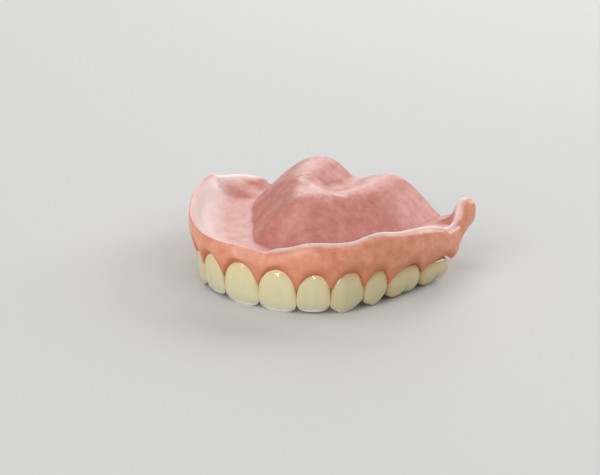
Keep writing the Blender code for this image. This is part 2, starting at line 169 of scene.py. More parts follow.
# The front contact of the arch in the row frame, from the boxes of the central incisors
def rowPlace():
    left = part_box("central_incisor_left")
    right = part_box("central_incisor_right")
    return Vector(((left[0].x + right[1].x) / 2.0, left[0].y + arch["lipFace"] * mm, 0.0))


frontContact = rowPlace()


# Acrylic base, millimetres

base = {
    "borderHollow": 0.3,      # the back border curves in at the midline
    "fanStart": 20.0,         # behind the front contact, where the front sections meet
    "fanWidth": 2.2,          # along the arch, the sections that do
    "fanSpread": 1.3,         # how much the other sections crowd to the front
    "thickness": 2.4,
    "rimFall": (0.5, -0.5),   # how far the top of the rim slopes down to the lip side
    "rimSink": (-0.1, 0.5),   # how far its inner edge lies under the rim's height
    "rimCrease": (0.6, 0.1),       # sharpness of its inner edge, not round the horn
    "shoulderCrease": (0.1, 0.4),  # and of its outer one
    "bank": (1.6, 3.6),       # run of the slope from the rim down to the floor, left and right
    "rearBank": (1.4, 1.3),   # and behind the teeth
    "bankFoot": 0.3,          # the floor's lift at the foot of that slope
    "bankWall": (0.35, 0.45),    # middle of the slope, as shares of its run and of its height
    "trough": 9.6,            # floor of the groove that takes the gum ridge
    "pocket": 0.9,            # the floor's dip under each tuberosity
    "undersideDip": 0.8,      # and the underside's
    "palateRise": 9.2,
    "humpDifference": 0.65,   # how much the right hump stands above the mean
    "humpPlace": 6.0,         # from the midline to where a hump has its own height
    "grooveDepth": 3.8,
    "grooveWidth": (5.2, 2.5),   # left and right of the middle
    "runShare": (0.92, 1.04),    # how much sooner or later each hump reaches its height
    "grooveStart": 23.0,
    "grooveRun": 15.0,
    "footCrease": 0.55,       # sharpness of the foot of the palate slope
    "neckFace": 1.25,         # lip side of the necks ahead of the tooth line
    "marginProud": 0.35,      # gum margin outside the tooth
    "marginRoll": 0.15,       # swelling of the gum just above it
    "rollRise": (1.0, 0.5),   # height of that above the margin, over a root and between two
    "marginLip": 0.45,        # thickness of the thin edge that closes on the tooth
    "marginCrease": 0.55,
    "gumArch": 2.3,           # shape of the gum arches: 1 is a pointed roof, 2 a parabola
    "gumSharpness": 0.25,     # share of their rounding that the cage makes up for
    "papillaCrease": 0.6,     # sharpness of the gum points
    "papillaInset": 0.5,      # how far they stand back between the roots
    "rootBulge": 0.3,
    "flangeBelly": 0.5,       # swelling of the flange beyond its rim
    "flangeRows": (0.66, 0.3),   # heights of its two rows, as shares of the way from gum to rim
    "lowerRow": (0.5, 0.85),  # how much of the belly the lower one has, by the teeth and at the back
    "midlinePapilla": 6.0,
    "palatalGum": 6.2,
    "palatalScallop": 0.7,
    "palatalSeat": 0.9,       # gum behind a tooth, on the palate side
    "socketRoof": 0.8,        # underside between the two gum margins, above the palate's one
    "footInset": 1.2,         # behind the teeth, underside out from the foot of the palate slope
    "backUnderside": 7.4,
    "backMargin": (8.2, 8.0),    # lower outer edge of the back corners, left and right
    "backRise": (9.5, 7.0),      # how far behind the last molar that edge gets there
    "backInset": (0.9, 3.4),     # and how far it stands in from the tooth line
    "backEdge": 1.0,          # width of the rounded back edge
    "backFloor": (9.8, 10.9),    # floor at the back border
    "backPull": (0.5, 0.0),      # how far the flange ends ahead of the palate
    "backRake": (0.02, 0.0),     # and more with the cube of the depth under rakeTop
    "rakeTop": 13.4,
    "pullStart": 2.5,            # behind the last molar
    "hornTip": 8.6,              # behind the last molar
    "slant": (0.3, 1.0),         # how far the floor behind the last molar tilts up to the flange
    "slantStart": -0.5,          # behind the last molar
    "slantRun": 1.8,
    "slantBank": 2.4,            # run of the bank where the floor tilts
    "slantWall": (0.42, 0.93),   # middle of the bank there, as shares of its run and height
    "slantFloor": (0.3, 0.7),    # floor's middle and bank's foot there, as shares up to the rim
    "hornCrease": 4.0,           # behind the last molar, where the creases of the left rim end
    # Painted sheen, pale paint for the glint of light from behind, on the foot of the bank, its wall,
    # the inner edge of the rim and its shoulder, on the left and from the run below on along the right
    "thin": [(0.0, 0.5), (0.2, 0.95), (1.0, 1.0), (0.1, 0.15)],
    "paintedSheenRun": 14.0,
    "columns": (0.0, 0.4, 1.0, 1.6),   # places of the sections across a tooth, its zenith at 1
    "rearColumns": (0.0, 0.06, 0.25, 0.45, 0.6, 0.72, 0.88, 1.0),   # and behind the last one
    "palateRows": (0.0, 0.16, 0.32, 0.5, 0.68, 0.86, 1.0),
    # Underside below each of the rows between, as its depth in thicknesses of the palate and how
    # far it is shifted to the midline
    "underRows": ((1.0, 0.0), (1.05, 0.3), (1.15, 0.8), (1.5, 1.0), (1.9, 1.2)),
    "mergeDistance": 0.01,
    "rounding": 3,            # levels of Subdivision Surface
}
# rim is the height of the flange, flare how far it stands out from the tooth line and thick its
# thickness, as (left, right); foot is where the palate starts to rise, in from the tooth line,
# and run how long it rises
basePlaces = [
    {"at": "midline", "rim": (12.8, 12.8), "flare": (0.7, 0.7), "thick": (1.7, 1.7),
     "foot": 8.8, "run": 17.0},
    {"at": "central_incisor", "rim": (14.0, 13.1), "flare": (1.0, 1.0), "thick": (1.7, 1.5),
     "foot": 9.2, "run": 16.5},
    {"at": "lateral_incisor", "rim": (16.1, 13.4), "flare": (1.1, 1.9), "thick": (1.7, 1.3),
     "foot": 10.2, "run": 15.5},
    {"at": "canine", "rim": (15.7, 13.7), "flare": (1.5, 2.2), "thick": (1.7, 1.2),
     "foot": 11.5, "run": 14.5},
    {"at": "premolar", "rim": (16.8, 14.1), "flare": (1.6, 2.6), "thick": (1.7, 1.2),
     "foot": 11.7, "run": 14.0},
    {"at": "first_molar", "rim": (15.4, 14.3), "flare": (2.0, 3.2), "thick": (1.7, 1.2),
     "foot": 10.5, "run": 13.5},
    {"at": "second_molar", "rim": (14.1, 14.4), "flare": (1.5, 3.6), "thick": (1.7, 1.2),
     "foot": 8.8, "run": 13.5},
    {"at": "last_contact", "rim": (11.6, 14.2), "flare": (0.9, 3.2), "thick": (1.7, 1.3),
     "foot": 8.8, "run": 13.5},
    {"at": "tuberosity", "rim": (11.3, 13.0), "flare": (-0.2, 0.8), "thick": (1.9, 1.7),
     "foot": 9.0, "run": 13.5},
    {"at": "horn", "rim": (16.0, 12.3), "flare": (-0.4, -0.8), "thick": (2.8, 2.0),
     "foot": 9.2, "run": 13.5},
    {"at": "back", "rim": (15.8, 11.3), "flare": (-0.7, -2.4), "thick": (2.8, 2.4),
     "foot": 9.4, "run": 13.5},
]


def placeOnArch(name):
    for tooth, start in zip(teeth, toothStarts):
        if tooth["name"] == name:
            return start + tooth["width"] / 2.0
    others = {"midline": 0.0, "last_contact": lastContact, "back": archLength,
              "tuberosity": lastContact + arch["backLength"] / 2.0,
              "horn": lastContact + base["hornTip"]}
    return others[name]


placeStations = [placeOnArch(place["at"]) for place in basePlaces]


def alongBase(s, size, side=0):
    index = max(i for i, station in enumerate(placeStations[:-1]) if s >= station or i == 0)
    part = smoothStep((s - placeStations[index])
                      / (placeStations[index + 1] - placeStations[index]))
    ends = [place[size] if side == 0 else place[size][0 if side > 0 else 1]
            for place in basePlaces[index:index + 2]]
    return mix(ends[0], ends[1], part)


# Sections of one side: place along the arch, gum height, tooth, and share of a gum arch
def baseSections():
    found = []
    papilla = base["midlinePapilla"]
    for index, tooth in enumerate(teeth):
        zenith = tooth["zenith"]
        for place in base["columns"]:
            t = zenith * place if place <= 1.0 else mix(zenith, 1.0, place - 1.0)
            rise = 1.0 - abs(place - 1.0) ** base["gumArch"]
            low = mix(papilla, tooth["papilla"], t)
            found.append({"s": mix(toothStarts[index], toothStarts[index + 1], t),
                          "gum": mix(low, tooth["height"], rise), "tooth": tooth, "rise": rise})
        papilla = tooth["papilla"]
    for part in base["rearColumns"]:
        found.append({"s": mix(lastContact, archLength - base["backEdge"], part),
                      "gum": papilla, "tooth": teeth[-1], "rise": 0.5 * smoothStep(part)})
    found.append({"s": archLength, "gum": papilla, "tooth": teeth[-1], "rise": 0.5})
    # Subdivision rounds the gum arches, so their cage is drawn sharper than they are
    heights = [section["gum"] for section in found]
    heights = [heights[1]] + heights + [heights[-1]]
    for section, before, here, after in zip(found, heights, heights[1:], heights[2:]):
        if section["s"] < lastContact:
            section["gum"] = here + base["gumSharpness"] * (here - (before + after) / 2.0)
    return found


# Midline point that the section at s runs to. The front sections share one
def spinePoint(s):
    start = max(s, base["fanWidth"])
    back = archPoint(archLength)[0].y - base["borderHollow"]
    travel = (start / archLength) ** base["fanSpread"]
    return Vector((0.0, mix(base["fanStart"], back, travel))), start


def palateHeight(s, inward, spot, side):
    hand = 0 if side > 0 else 1
    away = min(abs(spot.x) / base["humpPlace"], 1.0)
    run = alongBase(s, "run") * mix(1.0, base["runShare"][hand], away)
    climb = (inward - alongBase(s, "foot")) / run
    rise = base["palateRise"] - side * away * base["humpDifference"]
    rise *= math.sin(min(max(climb, 0.0), 1.0) * math.pi / 2.0)
    width = base["grooveWidth"][hand]
    groove = base["grooveDepth"] * hump(spot.x, width)
    groove *= smoothStep((spot.y - base["grooveStart"]) / base["grooveRun"])
    return base["trough"] + rise - groove


# Rows of one section from the midline over the palate, trough, rim and gum, and back. Each is a
# point with its share of the fitting side and of the gum margin
def sectionPoints(section, side):
    s = section["s"]
    tooth = section["tooth"]
    gum = section["gum"]
    place, slope = archPoint(s)
    spine, spineStart = spinePoint(s)
    reach = (spine - place).length
    inward = (spine - place) / reach
    foot = alongBase(s, "foot")
    rim = alongBase(s, "rim", side)
    outer = -alongBase(s, "flare", side)
    inner = outer + alongBase(s, "thick", side)
    hand = 0 if side > 0 else 1
    past = s - lastContact
    behind = smoothStep(past / (0.5 * arch["backLength"]))
    back = smoothStep(past / arch["backLength"])
    dip = (behind - back) / 0.5   # 1 at the middle of a tuberosity
    trough = mix(base["trough"] - base["pocket"] * dip, base["backFloor"][hand], back)
    slant = smoothStep((past - base["slantStart"]) / base["slantRun"])
    slant *= base["slant"][hand]
    bank = mix(base["bank"][hand], base["rearBank"][hand], behind)
    bank = mix(bank, base["slantBank"], slant)
    rear = min(max(past / base["backRise"][hand], 0.0), 1.0)
    gum = mix(gum, base["backMargin"][hand], rear ** 2 if side > 0 else rear)
    pulled = (past - base["pullStart"]) / (arch["backLength"] - base["pullStart"])
    pulled = max(pulled, 0.0)   # even, so that the sections keep their order
    forward = Vector((-1.0, -slope)).normalized()
    thickness = base["thickness"]

    def at(q, z, pull=0.0):
        spot = place + inward * q + forward * pull
        return Vector((side * spot.x, spot.y, z))

    def onFlange(q, z, share=1.0):
        under = max(base["rakeTop"] - z, 0.0)
        pull = base["backPull"][hand] + base["backRake"][hand] * under ** 3
        return at(q, z, pull * pulled * share)

    def onPalate(part, drop, shift):
        q = mix(reach, foot, part) + shift
        return at(q, palateHeight(s, q, place + inward * q, side) - drop)

    def onSpine(drop):
        start = archPoint(spineStart)[0]
        height = palateHeight(spineStart, (spine - start).length, spine, 0)
        return Vector((0.0, spine.y, height - drop))

    between = 1.0 - section["rise"] if s < lastContact else 0.0
    bulge = base["rootBulge"] * (1.0 - between)
    margin = -base["neckFace"] - base["marginProud"] + base["papillaInset"] * between
    margin = mix(margin, base["backInset"][hand], back)
    roll = margin - base["marginRoll"] * (1.0 - back)
    rollHeight = gum + mix(base["rollRise"][0], base["rollRise"][1], between)
    lip = base["marginLip"]
    palatal = mix(tooth["depth"] + base["palatalSeat"], foot - base["footInset"], behind)
    scallop = base["palatalScallop"] * (0.5 - between)
    palatalGum = mix(base["palatalGum"] + scallop, base["backUnderside"], back)
    under = mix(base["palatalGum"] + base["socketRoof"], base["backUnderside"], back)
    under -= base["undersideDip"] * dip
    floorMiddle = mix(trough, rim, base["slantFloor"][0] * slant)
    floorFoot = mix(trough + base["bankFoot"], mix(trough, rim, base["slantFloor"][1]), slant)
    wall = mix(base["bankWall"][0], base["slantWall"][0], slant)
    wallHeight = mix(trough, rim, mix(base["bankWall"][1], base["slantWall"][1], slant))
    shoulder = rim - mix(base["rimFall"][hand], base["rimFall"][0], behind)
    crest = rim - mix(base["rimSink"][hand], base["rimSink"][0], behind)
    belly = outer - base["flangeBelly"]
    lower = mix(margin, belly, mix(base["lowerRow"][0], base["lowerRow"][1], back)) - bulge
    upperHeight, lowerHeight = [mix(gum, rim, share) for share in base["flangeRows"]]
    rows = [(onSpine(0.0), 1.0, 0.0)]
    rows += [(onPalate(part, 0.0, 0.0), 1.0, 0.0) for part in base["palateRows"][1:]]
    rows += [
        (at(mix(foot, inner + bank, 0.5), floorMiddle), 1.0, 0.0),
        (onFlange(inner + bank, floorFoot, 0.5), 1.0, 0.0),
        (onFlange(inner + wall * bank, wallHeight), 1.0, 0.0),
        (onFlange(inner, crest), 0.8, 0.0),
        (onFlange(outer, shoulder), 0.1, 0.0),
        (onFlange(belly, upperHeight), 0.0, 0.05),
        (onFlange(lower, lowerHeight), 0.0, 0.35),
        (onFlange(roll, rollHeight), 0.0, 0.75),
        (onFlange(margin + lip * (1.0 - back), gum), 0.0, 1.0),
        (onFlange(mix(margin + lip, palatal, 0.5), under, 0.5), 0.0, 1.0),
        (at(palatal, palatalGum), 0.0, 0.8),
    ]
    inside = list(zip(base["palateRows"][1:-1], base["underRows"]))
    for part, (depth, shift) in reversed(inside):
        rows.append((onPalate(part, depth * thickness, shift), 0.0, 0.0))
    rows.append((onSpine(thickness), 0.0, 0.0))
    return rows


# A grid whose columns are the sections round the arch, folded to meet along the midline
def baseCage():
    half = baseSections()
    sections = [(section, -1) for section in reversed(half)] + [(section, 1) for section in half[1:]]
    profiles = [sectionPoints(section, side) for section, side in sections]
    columns = len(profiles)
    rows = len(profiles[0])
    bm = bmesh.new()
    bmesh.ops.create_grid(bm, x_segments=columns - 1, y_segments=rows - 1, size=1.0)
    bm.verts.ensure_lookup_table()
    fitting, margin, thin = [bm.verts.layers.float.new(name) for name in ("fitting", "margin", "thin")]
    lattice = [[bm.verts[row * columns + column] for row in range(rows)] for column in range(columns)]
    for column, profile in zip(lattice, profiles):
        for vert, (point, fittingShare, marginShare) in zip(column, profile):
            vert.co = point
            vert[fitting] = fittingShare
            vert[margin] = marginShare
    # The back border joins the fitting side to its partner underneath
    last = rows - 1
    footRow = len(base["palateRows"]) - 1
    rimRow = footRow + 4      # past the floor, the foot of the bank and its middle
    marginRow = rimRow + 5    # past the shoulder, the flange and the swelling of the gum
    for column in (lattice[0], lattice[-1]):
        for k in range(last // 2):
            corners = [column[k], column[k + 1], column[last - k - 1], column[last - k]]
            bmesh.ops.contextual_create(bm, geom=corners)
    # Painted sheen, pale paint for the glint of light from behind, on the bank and rim, more along the
    # right
    for column, (section, side) in zip(lattice, sections):
        share = smoothStep(section["s"] / base["paintedSheenRun"]) if side < 0 else 0.0
        for row, (left, right) in enumerate(base["thin"], rimRow - 2):
            column[row][thin] = mix(left, right, share)
    crease = bm.edges.layers.float.new("crease_edge")
    for a, b, (section, side) in zip(lattice, lattice[1:], sections):
        hand = 0 if side > 0 else 1
        horn = smoothStep((section["s"] - lastContact) / base["hornCrease"]) if side > 0 else 0.0
        creases = {footRow: base["footCrease"], rimRow: base["rimCrease"][hand] * (1.0 - horn),
                   rimRow + 1: base["shoulderCrease"][hand] * (1.0 - horn),
                   marginRow: base["marginCrease"]}
        for row, strength in creases.items():
            bm.edges.get((a[row], b[row]))[crease] = strength
    for column, (section, side) in zip(lattice, sections):
        if section["rise"] == 0.0 and section["s"] < lastContact:
            for row in range(marginRow - 2, marginRow + 1):
                bm.edges.get((column[row], column[row + 1]))[crease] = base["papillaCrease"]
    bmesh.ops.remove_doubles(bm, verts=bm.verts, dist=base["mergeDistance"])
    bmesh.ops.recalc_face_normals(bm, faces=bm.faces)
    return bm


wrinkles = {
    # Front edge of the hollow on the palate crest, as points (x, y) of a line, and its size
    "ridge": [(-6.5, 31.5), (-5.2, 29.7), (-2.9, 28.6), (-0.1, 27.3), (2.1, 26.9), (4.1, 27.4),
              (5.4, 28.8), (5.7, 30.9), (5.4, 34.8)],
    "ridgeHeight": 0.08,
    "ridgeWidth": 1.8,
    "ridgePaintedSheen": 0.5,         # how much of the painted sheen its patches take
    "hollow": (-1.0, 35.5),
    "hollowDepth": 0.45,
    "hollowWidth": 3.4,
    "hollowStretch": 1.3,     # how much narrower it is across
    "crestStart": 15.0,       # height where these marks begin
    "crestRun": 2.0,
    "knobHeight": 0.14,       # uneven knobs on the ridge and in the hollow
    "knobSize": 1.7,
    "grainHeight": 0.035,
    "grainSize": 1.1,
    # Rounds of smoothing on the crest within a radius: the wider ones ease the border of the first
    "fanSmoothing": [(12.0, 110), (14.0, 24), (16.0, 8)],
    "fanHeight": 1.5,         # above the trough, where it ends
}


def lineDistance(x, y, line):
    spot = Vector((x, y))
    nearest = 1e9
    for a, b in zip(line, line[1:]):
        start = Vector(a)
        run = Vector(b) - start
        t = min(max((spot - start).dot(run) / run.length_squared, 0.0), 1.0)
        nearest = min(nearest, (start + run * t - spot).length)
    return nearest


# Shares of the ridge and of the hollow on the palate crest at a point
def crestMarks(point):
    if point.z < wrinkles["crestStart"]:
        return 0.0, 0.0
    crest = smoothStep((point.z - wrinkles["crestStart"]) / wrinkles["crestRun"])
    away = lineDistance(point.x, point.y, wrinkles["ridge"])
    dx = point.x - wrinkles["hollow"][0]
    dy = point.y - wrinkles["hollow"][1]
    hollow = hump(math.hypot(dx * wrinkles["hollowStretch"], dy), wrinkles["hollowWidth"])
    return hump(away, wrinkles["ridgeWidth"]) * crest, hollow * crest


# How far the fitting side stands off its smooth form: the marks of the palate it fits
def fittingDetail(point, ridge, hollow):
    rise = wrinkles["grainHeight"] * noise.noise(point / wrinkles["grainSize"])
    knobs = noise.noise(point / wrinkles["knobSize"]) * min(ridge + hollow, 1.0)
    rise += wrinkles["knobHeight"] * knobs
    return rise + wrinkles["ridgeHeight"] * ridge - wrinkles["hollowDepth"] * hollow


# The cage rounded by Subdivision Surface, as a mesh of its own in millimetres
def shapedMesh(bm, name, levels):
    mesh = bpy.data.meshes.new(name + "Cage")
    bm.to_mesh(mesh)
    bm.free()
    cage = addObject(name + "Cage", mesh)
    rounding = cage.modifiers.new("rounding", "SUBSURF")
    rounding.levels = levels
    rounding.render_levels = levels
    bpy.context.view_layer.update()
    shaped = bpy.data.meshes.new_from_object(
        cage.evaluated_get(bpy.context.evaluated_depsgraph_get()))
    bpy.data.objects.remove(cage)
    bpy.data.meshes.remove(mesh)
    return shaped


# Scales a mesh in millimetres, puts it in its place in the row frame and lets it ride
def finishPiece(mesh, name, nodes, material):
    mesh.name = name
    mesh.transform(Matrix.Translation(frontContact) @ Matrix.Scale(mm, 4))
    mesh.shade_smooth()
    mesh.materials.clear()
    mesh.materials.append(material)
    piece = addObject(name, mesh)
    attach(piece, "root")
    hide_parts(*nodes)
    return piece


def makeBase(material):
    mesh = shapedMesh(baseCage(), "dentureBase", base["rounding"])
    bm = bmesh.new()
    bm.from_mesh(mesh)
    fitting = bm.verts.layers.float["fitting"]
    thin = bm.verts.layers.float["thin"]
    # A layer for painted shade, darker red in the hollow on the crest
    red = bm.verts.layers.float.new("red")
    # The front sections meet in a fan on the crest, which is smoothed away
    lowest = base["trough"] + wrinkles["fanHeight"]
    for radius, rounds in wrinkles["fanSmoothing"]:
        fan = [vert for vert in bm.verts if vert[fitting] > 0.5 and vert.co.z > lowest
               and math.hypot(vert.co.x, vert.co.y - base["fanStart"]) < radius]
        for again in range(rounds):
            bmesh.ops.smooth_vert(bm, verts=fan, factor=0.5, use_axis_x=True, use_axis_y=True,
                                  use_axis_z=True)
    bm.normal_update()
    moves = []
    for vert in bm.verts:
        if vert[fitting] > 0.01:
            ridge, hollow = crestMarks(vert.co)
            moves.append((vert, vert.normal * fittingDetail(vert.co, ridge, hollow) * vert[fitting]))
            # Patches of painted sheen along the ridge of the crest
            patch = wrinkles["ridgePaintedSheen"] * (0.5 + noise.noise(vert.co / wrinkles["knobSize"]))
            vert[thin] = min(vert[thin] + ridge * max(patch, 0.0), 1.0)
            # Painted shade in the hollow of the crest
            vert[red] = hollow
    for vert, move in moves:
        vert.co += move
    bm.to_mesh(mesh)
    bm.free()
    piece = finishPiece(mesh, "dentureBase", ["denture_base"], material)
    print("denture base:", len(mesh.polygons), "faces")
    return piece


# Crown forms. A wall is its height on the lip side and on the palate side as shares of the
# crown, its share of the full width, where the lip side stands in millimetres and where the
# palate side stands as a share of the depth

incisorWalls = [
    (0.00, 0.00, 0.80, -0.40, 0.10),
    (0.08, 0.08, 0.96, -0.72, 0.17),
    (0.30, 0.30, 1.00, -1.20, 0.38),
    (0.62, 0.55, 0.94, -1.40, 0.72),
    (0.87, 0.72, 0.81, -0.98, 0.98),
    (1.04, 0.78, 0.68, -0.42, 0.92),
]
molarWalls = [
    (0.00, 0.00, 0.92, -0.70, 0.92),
    (0.40, 0.38, 1.00, -1.50, 1.03),
    (0.90, 0.80, 0.92, -1.25, 0.98),
    (1.10, 1.05, 0.74, -0.40, 0.84),
]
# columns and rows are places across and through the biting surface from -1 to 1, edge how far
# in millimetres each point of that grid stands off the tooth's lowest one, taper how much the
# palate side is narrower, bow how far the corners stand back, cage how much wider the cage is
# than the tooth it rounds to, and crease how sharp the border of the worn edge is. marks are the
# grooves and ridges down the lip side: place and width as shares of half the tooth's width,
# height in millimetres, and the share of the tooth's height where they end
crownForms = {
    "incisor": {
        "columns": [-1.0, -0.72, 0.0, 0.72, 1.0],
        "rows": [-1.0, 1.0],
        "edge": [[0.5, 0.0, 0.0, 0.05, 0.8],
                 [0.5, 0.0, 0.0, 0.05, 0.8]],
        "walls": incisorWalls, "taper": 0.24, "bow": 1.15, "cage": 1.15, "crease": 0.6,
        "marks": [(-0.34, 0.17, -0.08, 0.85), (0.34, 0.17, -0.08, 0.85)],
    },
    "canine": {
        "columns": [-1.0, -0.62, -0.2, 0.45, 1.0],
        "rows": [-1.0, 1.0],
        "edge": [[1.6, 0.55, 0.0, 0.75, 2.2],
                 [1.8, 0.75, 0.1, 0.95, 2.4]],
        "walls": incisorWalls, "taper": 0.32, "bow": 1.7, "cage": 1.22, "crease": 0.1,
        "marks": [(-0.28, 0.28, 0.15, 2.0)],
    },
    "premolar": {
        "columns": [-1.0, -0.5, 0.0, 0.5, 1.0],
        "rows": [-1.0, -0.62, 0.05, 0.66, 1.0],
        "edge": [[1.6, 1.1, 0.7, 1.5, 2.5],
                 [1.5, 0.8, -0.6, 1.1, 2.1],
                 [2.0, 2.6, 2.8, 2.6, 2.1],
                 [2.2, 1.2, 0.0, 1.2, 2.3],
                 [2.8, 2.0, 1.4, 2.0, 2.9]],
        "walls": molarWalls, "taper": 0.26, "bow": 1.1, "cage": 1.06, "crease": 0.0,
        "marks": [],
    },
    "molar": {
        "columns": [-1.0, -0.52, 0.0, 0.52, 1.0],
        "rows": [-1.0, -0.66, 0.05, 0.66, 1.0],
        "edge": [[2.2, 1.2, 2.0, 1.3, 2.3],
                 [1.8, 0.2, 1.6, 0.4, 2.0],
                 [2.0, 2.0, 2.9, 2.1, 2.2],
                 [1.8, -0.7, 1.4, -0.5, 2.0],
                 [2.6, 1.2, 2.2, 1.4, 2.8]],
        "walls": molarWalls, "taper": 0.12, "bow": 1.0, "cage": 1.05, "crease": 0.0,
        "marks": [(0.05, 0.14, -0.35, 0.8)],
    },
}
crown = {
    "rounding": 4,            # levels of Subdivision Surface
    "contactGap": 0.02,
    "lipBow": 0.6,            # share of the bow that the lip side has
    "lipFacing": (0.15, 0.5),    # how far a face looks to the lip where its marks start, and the run
    "markFade": 0.5,          # share of the height over which they fade to their end
    "ridgeLines": 0.005,      # the fine level lines across the crown
    "ridgeSpacing": 0.55,
    "tableFacing": (0.3, 0.4),   # as lipFacing, for the biting surface
    "fissure": 0.3,           # furrow along the middle of the biting surface
    "fissurePlace": 0.42,     # and its width and sway, as shares of the depth of the tooth
    "fissureWidth": 0.05,
    "fissureSway": 0.04,
    "fissureTurns": 9.0,      # radians of the sway over half the width
    "crossShare": 0.8,        # of its depth, in the furrow across a molar
    "crossPlace": 0.05,       # and its width, as shares of half the tooth's width
    "crossWidth": 0.06,
}


def crownPoint(tooth, column, row, level):
    form = crownForms[tooth["form"]]
    lipHeight, palateShare, width, lip, palate = form["walls"][level]
    a = form["columns"][column]
    through = (form["rows"][row] + 1.0) / 2.0
    halfWidth = (tooth["width"] - crown["contactGap"]) / 2.0 * form["cage"]
    u = a * halfWidth * width * (1.0 - form["taper"] * through) + tooth["lean"] * lipHeight
    lipSide = lip + crown["lipBow"] * form["bow"] * a * a
    palateSide = tooth["depth"] * palate - form["bow"] * a * a
    w = mix(lipHeight, palateShare, through) * tooth["height"]
    fade = 1.0 - smoothStep(level / (len(form["walls"]) - 2))
    return Vector((u, mix(lipSide, palateSide, through), w + form["edge"][row][column] * fade))


# A grid for the biting surface, whose border is extruded wall by wall up to the neck
def crownCage(tooth, side):
    form = crownForms[tooth["form"]]
    across = len(form["columns"])
    through = len(form["rows"])
    bm = bmesh.new()
    columnLayer = bm.verts.layers.int.new("columnIndex")
    rowLayer = bm.verts.layers.int.new("rowIndex")
    bmesh.ops.create_grid(bm, x_segments=across - 1, y_segments=through - 1, size=1.0)
    bm.verts.ensure_lookup_table()
    for index, vert in enumerate(bm.verts):
        vert[columnLayer] = index % across
        vert[rowLayer] = index // across
    crease = bm.edges.layers.float.new("crease_edge")
    for edge in bm.edges:
        if edge.is_boundary:
            edge[crease] = form["crease"]
    table = list(bm.verts)
    ring = [edge for edge in bm.edges if edge.is_boundary]
    for level in range(len(form["walls"])):
        if level == 0:
            fresh = table
        else:
            made = bmesh.ops.extrude_edge_only(bm, edges=ring)["geom"]
            fresh = [item for item in made if isinstance(item, bmesh.types.BMVert)]
            ring = [edge for edge in made if isinstance(edge, bmesh.types.BMEdge)
                    and edge.is_boundary]
            for edge in ring:
                edge[crease] = 0.0
        for vert in fresh:
            point = crownPoint(tooth, vert[columnLayer], vert[rowLayer], level)
            vert.co = (side * point.x, point.y, point.z)
    bmesh.ops.holes_fill(bm, edges=ring, sides=0)
    bmesh.ops.recalc_face_normals(bm, faces=bm.faces)
    return bm


# How far the surface of a crown stands off its smooth form, in millimetres
def crownDetail(tooth, side, co, normal):
    form = tooth["form"]
    a = side * co.x / (tooth["width"] / 2.0)
    w = co.z / tooth["height"]
    start, run = crown["lipFacing"]
    lipShare = smoothStep((-normal.y - start) / run)
    move = crown["ridgeLines"] * math.sin(2.0 * math.pi * co.z / crown["ridgeSpacing"]) * lipShare
    for place, width, height, end in crownForms[form]["marks"]:
        fade = smoothStep((end - w) / crown["markFade"])
        move += height * hump(a - place, width) * lipShare * fade
    if form in ("molar", "premolar"):
        start, run = crown["tableFacing"]
        table = smoothStep((-normal.z - start) / run)
        middle = co.y / tooth["depth"] - crown["fissurePlace"]
        sway = crown["fissureSway"] * math.sin(crown["fissureTurns"] * a)
        move -= crown["fissure"] * hump(middle - sway, crown["fissureWidth"]) * table
        if form == "molar":
            across = hump(a - crown["crossPlace"], crown["crossWidth"])
            move -= crown["crossShare"] * crown["fissure"] * across * table
    return move


def makeTooth(tooth, start, side, word, material):
    name = tooth["name"] + "_" + word
    mesh = shapedMesh(crownCage(tooth, side), name, crown["rounding"])
    bm = bmesh.new()
    bm.from_mesh(mesh)
    bm.normal_update()
    neckShare = bm.verts.layers.float.new("neckShare")
    sideShare = bm.verts.layers.float.new("sideShare")
    moves = [(vert, vert.normal * crownDetail(tooth, side, vert.co, vert.normal))
             for vert in bm.verts]
    for vert, move in moves:
        vert[neckShare] = vert.co.z / tooth["height"]
        vert[sideShare] = abs(vert.co.x) / (tooth["width"] / 2.0)
        vert.co += move
    lowest = min(vert.co.z for vert in bm.verts)
    place, slope = archPoint(start + tooth["width"] / 2.0)
    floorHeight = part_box(name)[0].z / mm
    turn = Matrix.Rotation(side * math.atan(slope), 4, "Z")
    shift = Matrix.Translation((side * place.x, place.y, floorHeight - lowest))
    bmesh.ops.transform(bm, matrix=shift @ turn, verts=bm.verts)
    bm.to_mesh(mesh)
    bm.free()
    first, *others = name.split("_")
    pieceName = first + "".join(other.capitalize() for other in others)
    return finishPiece(mesh, pieceName, [name], material)


# Heat-cured denture acrylic (PMMA) packed and polished by hand: glassy on the lip side, a little
# uneven where it copies the gum, tinted pink with short dark red fibres under the surface
baseFinish = {
    "polished": "#EFA484",
    "polishedDeep": "#DF8A6A",
    "fitting": "#DA9688",
    "fittingDeep": "#C9786A",
    # Colours laid over these, each from a start of its own attribute on and up to a share
    "margin": "#C5642F",
    "marginStart": 0.15,
    "marginShare": 0.85,
    # Painted sheen: pale paint for the glint of light from behind on the rim, its bank and the crest
    "thin": "#F8E6E0",
    "thinStart": 0.15,
    "thinShare": 0.9,
    # Painted shade: darker red in the hollow on the crest
    "red": "#B4574B",
    "redStart": 0.0,
    "redShare": 0.55,
    "mottleSize": 2.6,        # millimetres, as all sizes here
    "mottleRange": (0.35, 0.68),
    "fibre": "#A0443C",
    "fibreSpacing": 1.5,      # coarser than the real fibres, which are too fine to show
    "fibreTurn": (0.5, 0.3, 0.9),
    "fibreStretch": (1.0, 0.35, 1.0),
    "fibreWidth": 0.035,      # half of it, in the noise's own measure
    "fibreShare": 0.26,
    "patchSize": 1.4,         # the fibres show in patches
    "patchRange": (0.45, 0.62),
    "grainSize": 0.45,
    "grainTurn": (0.0, 0.0, 0.35),
    "grainStretch": (0.3, 1.0, 0.6),
    "waveSize": 3.0,          # of the polished side
    "bumpHeight": 0.05,
    "roughness": 0.28,
    "fittingRoughness": 0.3,
    "roughnessSpread": 0.1,
    "ior": 1.49,
    "scatter": 0.12,
    "scatterRadius": (1.2, 0.42, 0.3),
    "coat": 0.2,
    "fittingCoat": 0.1,
    "coatRoughness": 0.14,
}


